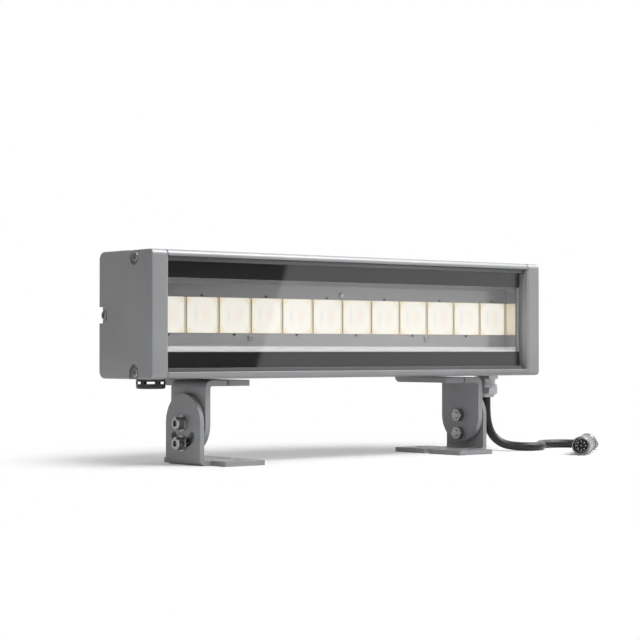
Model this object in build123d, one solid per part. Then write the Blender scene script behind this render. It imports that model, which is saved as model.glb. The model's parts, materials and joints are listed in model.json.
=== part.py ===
from build123d import *
import math
import os

# Outdoor wall washer light: an extruded lamp body with twelve lenses behind a glass,
# carried by two folded brackets that tilt on two feet, with a pigtail and a round connector.
# Millimetres. X runs along the lamp, +Y points away from the lit side, +Z is up.
# The origin is on the ground, under the middle of the lamp.

# ---- lamp body ----
LAMP_LENGTH = 524.0
LAMP_DEPTH = 94.0
LAMP_HEIGHT = 125.0
LAMP_BASE = 85.6          # underside of the lamp above the ground
FRONT_RADIUS = 5.0
BACK_RADIUS = 8.0
WALL = 3.0
CAP_THICKNESS = 17.2
CAP_EDGE = 1.2
GASKET_THICKNESS = 1.0
GASKET_INSET = 0.6

# ---- front opening, glass and what holds it ----
LIP_HEIGHT = 7.0
LIP_DEPTH = 5.0
GROOVE_DEPTH = 4.2        # height of the groove floor above the outside of the wall
STRIP_HEIGHT = 6.3
STRIP_THICKNESS = 2.8
GLASS_THICKNESS = 5.0
GLASS_END_GAP = 0.5
GLASS_EDGE_GAP = 0.8
BAND_HEIGHT = 21.4        # black enamel along the upper and lower edge of the glass
BAND_THICKNESS = 0.3
SEAL_THICKNESS = 2.0
SEAL_WIDTH = 8.0
SEAL_END_WIDTH = 2.5
LEDGE_THICKNESS = 3.0
SLIDE_GAP = 0.2

# ---- reflector tray and optics ----
SHEET = 1.5
TRAY_FACE_Y = -13.0       # front of the flat floor of the tray
TRAY_BOTTOM = 32.0        # lower edge of the tray floor above the underside of the lamp
TRAY_TOP = 95.0
TRAY_FLARE = 4.4
TRAY_LIP = 12.3
TRAY_END_GAP = 1.5
LENS_COUNT = 12
LENS_ROW_MARGIN = 0.2     # between the row of lens cells and the ends of the tray
LENS_GAP = 3.2            # between neighbouring lenses
LENS_HEIGHT = 35.5
LENS_CENTRE = 63.0        # above the underside of the lamp
LENS_PLATE = 3.8
LENS_CORNER = 2.0
LENS_DOME = 1.2
LENS_CONE_MARGIN = 2.45   # from the side of the lens to its cone
LENS_WAIST_RADIUS = 12.6
LENS_TIP_RADIUS = 6.5
LENS_HOLLOW = 10.5        # recess over the emitter
LENS_HOLLOW_DEPTH = 2.6
LENS_REAR_GAP = 0.3       # between the lens and its board
LENS_HOLE_GAP = 0.5
CLIP_SLOT = 3.2           # small triangular slots in the tray, beside every second lens
BOARD_THICKNESS = 1.6
BOARD_HEIGHT = 58.0
BOARD_END_GAP = 6.0
PAD_THICKNESS = 0.5
WEB_THICKNESS = 5.0
EMITTER_SIZE = 7.0
EMITTER_HEIGHT = 1.2
SPACER_LENGTH = 8.1
SPACER_DIAMETER = 7.0
TRAY_SCREW = 3.0
TRAY_SCREW_HEAD = 6.0
TRAY_SCREW_HEAD_HEIGHT = 1.8
TRAY_SCREW_OFFSET = 22.7  # above and below the row of lenses
TRAY_SCREW_GRIP = 3.5
TAP_RUNOUT = 0.5

# ---- heat sink at the back ----
BACK_WALL = 3.0
FIN_DEPTH = 13.0
FIN_THICKNESS = 2.5
FIN_PITCH = 8.4
FINS_BELOW = 3
FINS_ABOVE = 6
RAIL_CENTRE = 22.0        # T-slot rail above the underside of the lamp
RAIL_HEIGHT = 18.0
RAIL_MOUTH = 6.6
RAIL_LIP = 3.5
RAIL_SLOT_HEIGHT = 11.5
RAIL_SLOT_DEPTH = 6.0

# ---- end cap screws ----
CAP_SCREW = 5.0
CAP_SCREW_HEAD = 9.2
CAP_SCREW_HEAD_HEIGHT = 3.4
CAP_SCREW_GRIP = 9.0
SCREW_GAP = 0.05          # radial gap of a screw in its hole
PORT_DIAMETER = 10.0
PORT_EDGE = 6.7           # screw axis from the outside of the lamp
PORT_Y = -14.7
NOTCH_WIDTH = 16.0
NOTCH_DEPTH = 4.4
CAP_SCREW_HEAD_EDGE = 0.9
CAP_SCREW_SOCKET = 4.0
CAP_SCREW_SOCKET_DEPTH = 2.0

# ---- brackets and feet ----
PIVOT_HEIGHT = 41.3
BRACKET_SETBACK = 73.6    # outer face of the lamp bracket from the end of the lamp
BRACKET_Y = -1.3          # middle of the brackets and feet, a little forward of the lamp's middle
BRACKET_PLATE = 6.0
BRACKET_INNER_BEND = 2.0
BRACKET_HALF_WIDTH = 29.5
BRACKET_REACH = 55.1
BRACKET_GAP = 1.5         # under the lamp body
BRACKET_NOTCH = 2.4       # small centre mark in the front edge of the plate
BRACKET_NOTCH_DEPTH = 1.6
FLANGE_SETBACK = 6.9      # the part that folds up behind the lamp starts this far in
FLANGE_TOP = 36.0
FLANGE_SCREW_SPACING = 28.0
FOOT_PLATE = 5.0
FOOT_INNER_BEND = 2.0
FOOT_HALF_WIDTH = 53.2
FOOT_NECK = 13.3
FOOT_REACH = 62.8
PLATE_CORNER = 2.0
FRICTION_GAP = 1.4
NOTCH_OPEN_WIDTH = 9.0
NOTCH_OPEN_DEPTH = 22.0
FOOT_HOLE = 9.0
FOOT_HOLE_SPACING = 80.0
FOOT_HOLE_REACH = 38.4
SLOT_RADIUS = 20.0
SLOT_WIDTH = 9.0
TILT_LIMIT = 50.0

# ---- M8 clamp bolts ----
BOLT_DIAMETER = 8.0
BOLT_GAP = 0.08
BOLT_HEAD = 13.0
BOLT_HEAD_HEIGHT = 8.0
BOLT_HEAD_EDGE = 1.0
BOLT_SOCKET = 6.0
BOLT_SOCKET_DEPTH = 4.0
BOLT_TIP_EDGE = 0.6
NUT_FLATS = 13.0
NUT_HEIGHT = 6.5
BOLT_TAIL = 1.0
WASHER_DIAMETER = 16.0
WASHER_THICKNESS = 1.6
SEAT_GAP = 0.1
FRICTION_DIAMETER = 24.0
BRACKET_SCREW = 6.0
BRACKET_SCREW_HEAD = 11.4
BRACKET_SCREW_SOCKET = 4.0
BRACKET_SCREW_SOCKET_DEPTH = 2.4
TNUT_THICKNESS = 5.0
TNUT_WIDTH = 14.0

# ---- cable entry ----
GLAND_SETBACK = 37.5      # axis of the gland from the right end of the lamp
GLAND_Y = 0.0
GLAND_THREAD = 19.8
GLAND_HEX = 24.0
GLAND_HEX_HEIGHT = 4.5
GLAND_NECK = 20.4
GLAND_NECK_HEIGHT = 6.2
GLAND_RING = 25.0
GLAND_RING_HEIGHT = 3.4
GLAND_NUT_HEX = 22.4
GLAND_NUT_HEIGHT = 7.4
GLAND_DOME_HEIGHT = 3.5
GLAND_DOME_TOP = 16.0
GLAND_DOME_STEP = 0.4
RAIL_UNDER_WEB = 8.0      # thick strip along the bottom that takes the gland and the breather
GLAND_POCKET_TOP = 47.0   # cut-out of the web above the gland
VENT_POCKET_TOP = 20.0
POCKET_MARGIN = 3.0
GLAND_SEAL_DIAMETER = 15.0
GLAND_SEAL_HEIGHT = 6.0
CABLE_DIAMETER = 9.6
CABLE_GAP = 0.1
CABLE_TAIL_TOP = 112.0

# ---- connector on the cable ----
CONNECTOR_TURN = 216.87                  # heading of its open face, degrees from +X
REAR_NUT_LENGTH = 12.0
REAR_NUT_DIAMETER = 15.0
REAR_NUT_TIP = 12.6
REAR_NUT_TAPER = 5.0
GRIP_LENGTH = 22.0
GRIP_DIAMETER = 20.8
GRIP_EDGE = 2.4
GRIP_RIM = 8.0            # full-size rim, then the rest is a step smaller
GRIP_STEP = 1.2
NECK_LENGTH = 40.0
NECK_DIAMETER = 15.6
SLEEVE_DIAMETER = 20.0
SLEEVE_LENGTH = 51.7
SLEEVE_BORE = 17.0
SLEEVE_BEARING = 14.0     # length of the sleeve that runs on the neck
SLEEVE_EDGE = 0.7
SLEEVE_GAP = 0.5
COLLAR_DIAMETER = 16.6    # keeps the sleeve on the neck
COLLAR_LENGTH = 1.5
INSERT_DIAMETER = 13.2
INSERT_LENGTH = 30.0
PIN_COUNT = 8
PIN_CIRCLE = 9.4
PIN_DIAMETER = 1.6
PIN_LENGTH = 7.0
RIB_COUNT = 24
RIB_DEPTH = 0.5
RIB_START = 4.0
RIB_END = 26.0

# ---- breather plug under the left end ----
VENT_SETBACK = 29.9       # axis of the plug from the left end of the lamp
VENT_Y = 0.0
VENT_DIAMETER = 29.0
VENT_HEIGHT = 9.8
VENT_FLANGE = 2.7         # the disc against the lamp, above the windows
VENT_WINDOW = 2.5
VENT_WALL = 1.6
VENT_WINDOWS = 6
VENT_RIB_ANGLE = 15.0
VENT_AIM = 230.9          # heading of the middle of one window, degrees from +X
VENT_EDGE = 2.0
VENT_THREAD = 16.0
VENT_BORE = 7.0
VENT_MEMBRANE = 13.0
VENT_MEMBRANE_THICKNESS = 0.5

# ---- driver and boards in the rear chamber ----
DRIVER_LENGTH = 0.36 * LAMP_LENGTH
DRIVER_HEIGHT = 62.0
DRIVER_DEPTH = 21.0
DRIVER_X = -0.17 * LAMP_LENGTH
DRIVER_TAB = 8.0
DRIVER_TAB_THICKNESS = 2.0
CONTROL_LENGTH = 0.23 * LAMP_LENGTH
CONTROL_HEIGHT = 70.0
CONTROL_X = 0.2 * LAMP_LENGTH
CONTROL_STANDOFF = 6.0
CONTROL_SPACING = CONTROL_LENGTH / 4
PILLAR_INSET = 6.0
CHIP_ROW = 15.0
CHIP_SIZE = 12.0
CHIP_HEIGHT = 2.5
CAPACITOR_DIAMETER = 12.0
CAPACITOR_HEIGHT = 14.0
TERMINAL_LENGTH = 34.0
TERMINAL_HEIGHT = 14.0
TERMINAL_DEPTH = 12.0
TERMINAL_Z = 40.0
TERMINAL_WELL = 5.0
TERMINAL_WELL_DEPTH = 5.0
CORE_DIAMETER = 2.4
CORE_COUNT = 3
CORE_SPREAD = 0.4         # between the cores where they leave the cable
CORE_BEND = 6.0
CORE_STRAIGHT = 5.0       # straight stretch at both ends of a core

# Points that the free cable follows, from the gland to the connector; x counts from the gland's axis.
CABLE_ROUTE = [
    (0.0, 0.0, 60.6),
    (0.0, 0.0, 47.3),
    (0.7, -0.6, 33.5),
    (3.9, -3.2, 19.5),
    (10.9, -9.5, 9.6),
    (20.1, -19.6, 5.4),
    (33.0, -37.1, 4.9),
    (56.5, -34.4, 4.9),
    (78.4, -5.9, 4.9),
    (99.8, -1.3, 4.9),
    (119.3, -11.1, 4.9),
    (128.3, -31.0, 4.9),
    (122.9, -52.2, 4.9),
    (107.4, -65.0, 7.0),
    (92.0, -74.1, 10.5),
    (78.0, -84.6, 10.5),
]

# ---- values worked out from those above ----
FRONT_Y = -LAMP_DEPTH / 2
BACK_Y = LAMP_DEPTH / 2
LAMP_TOP = LAMP_BASE + LAMP_HEIGHT
LAMP_MIDDLE = LAMP_BASE + LAMP_HEIGHT / 2
BODY_END = LAMP_LENGTH / 2 - CAP_THICKNESS - GASKET_THICKNESS
UPRIGHT_FACE = LAMP_LENGTH / 2 - BRACKET_SETBACK
GLAND_X = LAMP_LENGTH / 2 - GLAND_SETBACK
VENT_X = VENT_SETBACK - LAMP_LENGTH / 2
TERMINAL_X = GLAND_X
CABLE_POINTS = [Vector(GLAND_X + x, y, z) for x, y, z in CABLE_ROUTE]
STRIP_FRONT_Y = FRONT_Y + LIP_DEPTH + SLIDE_GAP / 2
GLASS_Y = STRIP_FRONT_Y + STRIP_THICKNESS + SLIDE_GAP / 2
BAND_Y = GLASS_Y + GLASS_THICKNESS
SEAL_Y = BAND_Y + BAND_THICKNESS
LEDGE_Y = SEAL_Y + SEAL_THICKNESS
GLASS_LOW = GROOVE_DEPTH + GLASS_EDGE_GAP
GLASS_HEIGHT = LAMP_HEIGHT - 2 * GLASS_LOW
GLASS_HALF_LENGTH = BODY_END - GLASS_END_GAP
TRAY_BACK_Y = TRAY_FACE_Y + SHEET
BOARD_Y = TRAY_BACK_Y + SPACER_LENGTH
PAD_Y = BOARD_Y + BOARD_THICKNESS
WEB_Y = PAD_Y + PAD_THICKNESS
REAR_Y = WEB_Y + WEB_THICKNESS
BACK_WALL_Y = BACK_Y - FIN_DEPTH - BACK_WALL
TRAY_HALF_LENGTH = BODY_END - TRAY_END_GAP
BOARD_HALF_LENGTH = TRAY_HALF_LENGTH - BOARD_END_GAP
LENS_PITCH = 2 * (TRAY_HALF_LENGTH - SHEET - LENS_ROW_MARGIN) / LENS_COUNT
LENS_WIDTH = LENS_PITCH - LENS_GAP
LENS_CONE_RADIUS = LENS_WIDTH / 2 - LENS_CONE_MARGIN
PLATE_TOP = LAMP_BASE - BRACKET_GAP
PLATE_UNDER = PLATE_TOP - BRACKET_PLATE
FOOT_FACE = UPRIGHT_FACE + FRICTION_GAP
GLAND_EXIT = (LAMP_BASE - GLAND_HEX_HEIGHT - GLAND_NECK_HEIGHT - GLAND_RING_HEIGHT
              - GLAND_NUT_HEIGHT - GLAND_DOME_HEIGHT)


def lens_places():
    """Middle of each lens along X."""
    first = -(LENS_COUNT - 1) / 2 * LENS_PITCH
    return [first + number * LENS_PITCH for number in range(LENS_COUNT)]


def tray_screw_places():
    """The three screws of the tray as (x, height above the underside of the lamp)."""
    return [
        (-3 * LENS_PITCH, LENS_CENTRE - TRAY_SCREW_OFFSET),
        (0.0, LENS_CENTRE + TRAY_SCREW_OFFSET),
        (3 * LENS_PITCH, LENS_CENTRE - TRAY_SCREW_OFFSET),
    ]


def cap_screw_places():
    """The three screws of an end cap as (y, height above the underside of the lamp)."""
    return [
        (PORT_Y, PORT_EDGE),
        (PORT_Y, LAMP_HEIGHT - PORT_EDGE),
        (BACK_Y - PORT_EDGE, LAMP_HEIGHT / 2),
    ]


def section(y_low, y_high, z_low, z_high):
    """A rectangle in the lamp's cross-section; heights are above the underside of the lamp."""
    middle = ((y_low + y_high) / 2, LAMP_BASE + (z_low + z_high) / 2)
    return Pos(*middle) * Rectangle(y_high - y_low, z_high - z_low)


def along_x(profile, x_low, x_high):
    """The cross-section, drawn as (y, z), pulled from x_low to x_high."""
    return extrude(Plane.YZ.offset(x_low) * profile, x_high - x_low)


def along_y(profile, y_low, y_high):
    """A profile drawn as (x, z), pulled from y_low to y_high."""
    return extrude(Plane.XZ.offset(-y_low) * profile, y_low - y_high)


def rod_x(x_low, x_high, y, z, diameter):
    """A round rod along X."""
    return along_x(Pos(y, z) * Circle(diameter / 2), x_low, x_high)


def rod_y(y_low, y_high, x, z, diameter):
    """A round rod along Y."""
    return along_y(Pos(x, z) * Circle(diameter / 2), y_low, y_high)


def rod_z(z_low, z_high, x, y, diameter):
    """A round rod along Z."""
    return extrude(Plane.XY.offset(z_low) * Pos(x, y) * Circle(diameter / 2), z_high - z_low)


def hex_prism(flats, height, corner=0.08):
    """A hexagon standing on the XY plane, with both ends turned to a slight cone."""
    across = flats / math.cos(math.pi / 6)
    prism = extrude(RegularPolygon(flats / 2, 6, major_radius=False), height)
    drop = (across - flats) / 2 * math.tan(math.radians(30))
    rim = across / 2
    turned = make_face(Polyline(
        (0, 0), (flats / 2, 0), (rim + corner, drop), (rim + corner, height - drop),
        (flats / 2, height), (0, height), close=True))
    return prism & revolve(Plane.XZ * turned, Axis.Z)


def facing_x(shape, x, y, z):
    """Turn a shape that stands on the XY plane so that it grows along +X from the point."""
    return Pos(x, y, z) * Rot(0, 90, 0) * shape


def lamp_outline(inset=0.0):
    """Outline of the lamp seen from its end, with smaller corners at the lit side."""
    outline = Rectangle(LAMP_DEPTH - 2 * inset, LAMP_HEIGHT - 2 * inset)
    front = outline.vertices().group_by(Axis.X)[0]
    outline = fillet(front, FRONT_RADIUS - inset)
    back = outline.vertices().group_by(Axis.X)[-1]
    outline = fillet(back, BACK_RADIUS - inset)
    return Pos(0, LAMP_MIDDLE) * outline


def front_opening():
    """The cut-out of the profile for the glass: a mouth, and a taller groove behind its lips."""
    mouth = section(FRONT_Y - 1, FRONT_Y + LIP_DEPTH, LIP_HEIGHT, LAMP_HEIGHT - LIP_HEIGHT)
    groove = section(FRONT_Y + LIP_DEPTH, LEDGE_Y, GROOVE_DEPTH, LAMP_HEIGHT - GROOVE_DEPTH)
    ledge_low = GLASS_LOW + SEAL_WIDTH
    window = section(LEDGE_Y, LEDGE_Y + LEDGE_THICKNESS, ledge_low, LAMP_HEIGHT - ledge_low)
    return mouth + groove + window


def fin_gaps():
    """The gaps between the fins, from the outside of the back wall to the fin tips."""
    gaps = section(BACK_Y - FIN_DEPTH, BACK_Y + 1, WALL, LAMP_HEIGHT - WALL)
    for step in range(-FINS_BELOW, FINS_ABOVE + 1):
        middle = LAMP_HEIGHT / 2 + step * FIN_PITCH
        gaps -= section(BACK_Y - FIN_DEPTH, BACK_Y + 1,
                        middle - FIN_THICKNESS / 2, middle + FIN_THICKNESS / 2)
    gaps -= section(BACK_Y - FIN_DEPTH, BACK_Y + 1,
                    RAIL_CENTRE - RAIL_HEIGHT / 2, RAIL_CENTRE + RAIL_HEIGHT / 2)
    return gaps


def rail_slot():
    """The T-slot that the lamp brackets are screwed to."""
    mouth = section(BACK_Y - RAIL_LIP, BACK_Y + 1,
                    RAIL_CENTRE - RAIL_MOUTH / 2, RAIL_CENTRE + RAIL_MOUTH / 2)
    slot = section(BACK_Y - RAIL_LIP - RAIL_SLOT_DEPTH, BACK_Y - RAIL_LIP,
                   RAIL_CENTRE - RAIL_SLOT_HEIGHT / 2, RAIL_CENTRE + RAIL_SLOT_HEIGHT / 2)
    return mouth + slot


def housing_profile():
    """The extruded profile: walls, web, heat sink fins, T-slot rail and screw ports."""
    profile = lamp_outline() - front_opening()
    profile -= section(LEDGE_Y + LEDGE_THICKNESS, WEB_Y, WALL, LAMP_HEIGHT - WALL)
    profile -= section(REAR_Y, BACK_WALL_Y, WALL, LAMP_HEIGHT - WALL)
    profile -= fin_gaps()
    profile -= rail_slot()
    rail = GLAND_THREAD / 2 + WALL
    profile += section(GLAND_Y - rail, GLAND_Y + rail, 0, RAIL_UNDER_WEB)
    for y, height in cap_screw_places():
        profile += Pos(y, LAMP_BASE + height) * Circle(PORT_DIAMETER / 2)
    for y, height in cap_screw_places():
        profile -= Pos(y, LAMP_BASE + height) * Circle(CAP_SCREW / 2 + SCREW_GAP)
    return profile


def housing():
    """The body, cut from the profile, with the holes for the gland, the breather plug and the tray."""
    body = along_x(housing_profile(), -BODY_END, BODY_END)
    for x, y, thread, height in (
        (GLAND_X, GLAND_Y, GLAND_THREAD, GLAND_POCKET_TOP),
        (VENT_X, VENT_Y, VENT_THREAD, VENT_POCKET_TOP),
    ):
        body -= rod_z(LAMP_BASE - 1, LAMP_BASE + RAIL_UNDER_WEB + 1, x, y, thread + 2 * SCREW_GAP)
        pocket = section(WEB_Y - 1, REAR_Y + 1, RAIL_UNDER_WEB, height)
        body -= along_x(pocket, x - thread / 2 - POCKET_MARGIN, x + thread / 2 + POCKET_MARGIN)
    for x, height in tray_screw_places():
        body -= rod_y(WEB_Y - 1, WEB_Y + TRAY_SCREW_GRIP + TAP_RUNOUT, x, LAMP_BASE + height,
                      TRAY_SCREW + 2 * SCREW_GAP)
    return body


def cap_notch(y, height):
    """Outline of the pocket round one cap screw, open to the nearest edge of the cap."""
    round_end = Pos(y, LAMP_BASE + height) * Circle(NOTCH_WIDTH / 2)
    reach = PORT_EDGE + 1
    if height < LAMP_HEIGHT / 4:
        run = section(y - NOTCH_WIDTH / 2, y + NOTCH_WIDTH / 2, height - reach, height)
    elif height > LAMP_HEIGHT * 3 / 4:
        run = section(y - NOTCH_WIDTH / 2, y + NOTCH_WIDTH / 2, height, height + reach)
    else:
        run = section(y, y + reach, height - NOTCH_WIDTH / 2, height + NOTCH_WIDTH / 2)
    return round_end + run


def end_cap(side):
    """A cast end cap: a thick plate with softened outer edge and three screw pockets."""
    inner = side * (BODY_END + GASKET_THICKNESS)
    outer = side * LAMP_LENGTH / 2
    x_low, x_high = min(inner, outer), max(inner, outer)
    cap = along_x(lamp_outline(), x_low, x_high)
    face = cap.faces().sort_by(Axis.X)[-1 if side > 0 else 0]
    cap = fillet(face.edges(), CAP_EDGE)
    floor = outer - side * NOTCH_DEPTH
    for y, height in cap_screw_places():
        pocket = cap_notch(y, height)
        cap -= along_x(pocket, min(floor, outer + side), max(floor, outer + side))
        cap -= rod_x(x_low - 1, x_high + 1, y, LAMP_BASE + height, CAP_SCREW + 2 * SCREW_GAP)
    return cap


def cap_gasket(side):
    """The flat seal between the body and an end cap."""
    inner = side * BODY_END
    outer = side * (BODY_END + GASKET_THICKNESS)
    ring = lamp_outline(GASKET_INSET)
    ring -= section(REAR_Y, BACK_WALL_Y, WALL + 1, LAMP_HEIGHT - WALL - 1)
    for y, height in cap_screw_places():
        ring -= Pos(y, LAMP_BASE + height) * Circle(CAP_SCREW / 2 + SCREW_GAP)
    return along_x(ring, min(inner, outer), max(inner, outer))


def cap_screws():
    """Six socket head screws, three in each end cap."""
    head = rod_z(0, CAP_SCREW_HEAD_HEIGHT, 0, 0, CAP_SCREW_HEAD)
    head = fillet(head.edges().sort_by(Axis.Z)[-1], CAP_SCREW_HEAD_EDGE)
    hexagon = RegularPolygon(CAP_SCREW_SOCKET / 2, 6, major_radius=False)
    socket = extrude(Plane.XY.offset(CAP_SCREW_HEAD_HEIGHT - CAP_SCREW_SOCKET_DEPTH) * hexagon,
                     CAP_SCREW_SOCKET_DEPTH + 1)
    length = CAP_THICKNESS - NOTCH_DEPTH + GASKET_THICKNESS + CAP_SCREW_GRIP
    screw = head - socket + rod_z(-length, 0, 0, 0, CAP_SCREW)
    screws = []
    for side in (-1, 1):
        floor = side * (LAMP_LENGTH / 2 - NOTCH_DEPTH)
        for y, height in cap_screw_places():
            screws.append(Pos(floor, y, LAMP_BASE + height) * Rot(0, side * 90, 0) * screw)
    return screws


def front_glass():
    """The toughened front glass with a small ground edge."""
    pane = section(GLASS_Y, BAND_Y, GLASS_LOW, GLASS_LOW + GLASS_HEIGHT)
    pane = chamfer(pane.vertices(), 0.5)
    return along_x(pane, -GLASS_HALF_LENGTH, GLASS_HALF_LENGTH)


def glass_band(upper):
    """One of the two black enamel bands on the rear of the glass."""
    low = LAMP_HEIGHT - GLASS_LOW - BAND_HEIGHT if upper else GLASS_LOW
    return along_x(section(BAND_Y, SEAL_Y, low, low + BAND_HEIGHT), -GLASS_HALF_LENGTH, GLASS_HALF_LENGTH)


def retaining_strip(upper):
    """The bar that slides in behind a lip and holds the glass."""
    low = LAMP_HEIGHT - GROOVE_DEPTH - SLIDE_GAP - STRIP_HEIGHT if upper else GROOVE_DEPTH + SLIDE_GAP
    bar = section(STRIP_FRONT_Y, STRIP_FRONT_Y + STRIP_THICKNESS, low, low + STRIP_HEIGHT)
    return along_x(bar, -GLASS_HALF_LENGTH, GLASS_HALF_LENGTH)


def glass_seal():
    """The silicone frame between the glass and the ledges of the body."""
    frame = along_x(section(SEAL_Y, LEDGE_Y, GLASS_LOW, GLASS_LOW + GLASS_HEIGHT),
                    -GLASS_HALF_LENGTH, GLASS_HALF_LENGTH)
    inside = section(SEAL_Y - 1, LEDGE_Y + 1, GLASS_LOW + SEAL_WIDTH,
                     GLASS_LOW + GLASS_HEIGHT - SEAL_WIDTH)
    reach = GLASS_HALF_LENGTH - SEAL_END_WIDTH
    return frame - along_x(inside, -reach, reach)


def tray_points(shift):
    """Corners of the tray's section, from its lower lip to its upper lip."""
    low, high = LAMP_BASE + TRAY_BOTTOM, LAMP_BASE + TRAY_TOP
    front = LEDGE_Y + SHEET / 2
    return [
        (front + shift, low - TRAY_FLARE - TRAY_LIP),
        (front + shift, low - TRAY_FLARE),
        (TRAY_FACE_Y + shift, low),
        (TRAY_FACE_Y + shift, high),
        (front + shift, high + TRAY_FLARE),
        (front + shift, high + TRAY_FLARE + TRAY_LIP),
    ]


def reflector_tray():
    """The folded tray round the lenses, with closed ends, lens holes and clip slots."""
    sheet = along_x(trace(Polyline(*tray_points(SHEET / 2)), SHEET), -TRAY_HALF_LENGTH, TRAY_HALF_LENGTH)
    corners = tray_points(SHEET / 2)
    end_face = make_face(Polyline(*corners[1:5], close=True))
    for side in (-1, 1):
        outer = side * TRAY_HALF_LENGTH
        inner = side * (TRAY_HALF_LENGTH - SHEET)
        sheet += along_x(end_face, min(inner, outer), max(inner, outer))
    for number, x in enumerate(lens_places()):
        centre = LAMP_BASE + LENS_CENTRE
        sheet -= rod_y(TRAY_FACE_Y - 1, TRAY_BACK_Y + 1, x, centre,
                       2 * (LENS_CONE_RADIUS + LENS_HOLE_GAP))
        away = 1 if number % 2 else -1
        edge = centre + away * (LENS_HEIGHT / 2 - 0.5)
        slot = make_face(Polyline((x - CLIP_SLOT / 2, edge), (x + CLIP_SLOT / 2, edge),
                                  (x, edge + away * CLIP_SLOT), close=True))
        sheet -= along_y(slot, TRAY_FACE_Y - 1, TRAY_BACK_Y + 1)
    for x, height in tray_screw_places():
        sheet -= rod_y(TRAY_FACE_Y - 1, TRAY_BACK_Y + 1, x, LAMP_BASE + height,
                       TRAY_SCREW + 2 * SCREW_GAP)
    return sheet


def lens():
    """One moulded lens: a square front with a shallow dome, and a collimating cone to the emitter."""
    front = TRAY_FACE_Y - LENS_PLATE
    rear = BOARD_Y - LENS_REAR_GAP
    hollow = LENS_HOLLOW / 2
    sphere = (LENS_CONE_RADIUS ** 2 + LENS_DOME ** 2) / (2 * LENS_DOME)
    middle = LENS_CONE_RADIUS / 2
    sag = sphere - math.sqrt(sphere ** 2 - middle ** 2)
    waist = (LENS_WAIST_RADIUS, (TRAY_FACE_Y + rear) / 2)
    half = make_face([
        Line((0, front - LENS_DOME), (0, rear - LENS_HOLLOW_DEPTH)),
        Polyline((0, rear - LENS_HOLLOW_DEPTH), (hollow, rear - LENS_HOLLOW_DEPTH), (hollow, rear),
                 (LENS_TIP_RADIUS, rear), waist, (LENS_CONE_RADIUS, TRAY_FACE_Y),
                 (LENS_CONE_RADIUS, front)),
        ThreePointArc((LENS_CONE_RADIUS, front), (middle, front - LENS_DOME + sag), (0, front - LENS_DOME)),
    ])
    plate = along_y(RectangleRounded(LENS_WIDTH, LENS_HEIGHT, LENS_CORNER), front, TRAY_FACE_Y)
    return plate + revolve(half, Axis.Y)


def board_section(y_low, y_high):
    """Section of the board or its pad, level with the row of lenses."""
    return section(y_low, y_high, LENS_CENTRE - BOARD_HEIGHT / 2, LENS_CENTRE + BOARD_HEIGHT / 2)


def led_board():
    """The metal-core board with its clearance holes."""
    board = along_x(board_section(BOARD_Y, PAD_Y), -BOARD_HALF_LENGTH, BOARD_HALF_LENGTH)
    for x, height in tray_screw_places():
        board -= rod_y(BOARD_Y - 1, PAD_Y + 1, x, LAMP_BASE + height, TRAY_SCREW + 2 * SCREW_GAP)
    return board


def thermal_pad():
    """The soft pad between the board and the web of the body."""
    pad = along_x(board_section(PAD_Y, WEB_Y), -BOARD_HALF_LENGTH, BOARD_HALF_LENGTH)
    for x, height in tray_screw_places():
        pad -= rod_y(PAD_Y - 1, WEB_Y + 1, x, LAMP_BASE + height, TRAY_SCREW + 2 * SCREW_GAP)
    return pad


def emitters():
    """Twelve square light emitters on the board."""
    chips = []
    for x in lens_places():
        outline = Pos(x, LAMP_BASE + LENS_CENTRE) * RectangleRounded(EMITTER_SIZE, EMITTER_SIZE, 0.6)
        chips.append(along_y(outline, BOARD_Y - EMITTER_HEIGHT, BOARD_Y))
    return chips


def tray_spacers():
    """Three round spacers between the board and the tray."""
    spacers = []
    for x, height in tray_screw_places():
        ring = rod_y(TRAY_BACK_Y, BOARD_Y, x, LAMP_BASE + height, SPACER_DIAMETER)
        ring -= rod_y(TRAY_BACK_Y - 1, BOARD_Y + 1, x, LAMP_BASE + height, TRAY_SCREW + 2 * SCREW_GAP)
        spacers.append(ring)
    return spacers


def tray_screws():
    """Three round head screws through tray, spacer and board into the web."""
    screws = []
    for x, height in tray_screw_places():
        z = LAMP_BASE + height
        head = rod_y(TRAY_FACE_Y - TRAY_SCREW_HEAD_HEIGHT, TRAY_FACE_Y, x, z, TRAY_SCREW_HEAD)
        head = fillet(head.edges().sort_by(Axis.Y)[0], 0.8)
        screws.append(head + rod_y(TRAY_FACE_Y, WEB_Y + TRAY_SCREW_GRIP, x, z, TRAY_SCREW))
    return screws


def bracket_profile(face, plate, bend, top, reach, drop):
    """The L of a folded plate as (x, z), for the right side: an upright at x = face, a flat to the middle."""
    inner = face - plate
    line = Polyline((face, drop), (face, top), (face - reach, top), (face - reach, top - plate),
                    (inner, top - plate), (inner, drop), close=True)
    shape = make_face(line)
    outside = shape.vertices().sort_by_distance((face, top))[0]
    shape = fillet(outside, bend + plate)
    inside = shape.vertices().sort_by_distance((inner, top - plate))[0]
    return fillet(inside, bend)


def upright_window(keep_below):
    """What an upright keeps, as (y, z): a straight strip that ends in a half round about the pivot."""
    reach = PLATE_TOP + 10
    half = BRACKET_HALF_WIDTH
    if keep_below:
        strip = Pos(0, PIVOT_HEIGHT - reach / 2) * Rectangle(2 * half, reach)
    else:
        strip = Pos(0, PIVOT_HEIGHT + reach / 2) * Rectangle(2 * half, reach)
    return strip + Pos(0, PIVOT_HEIGHT) * Circle(half)


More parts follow.
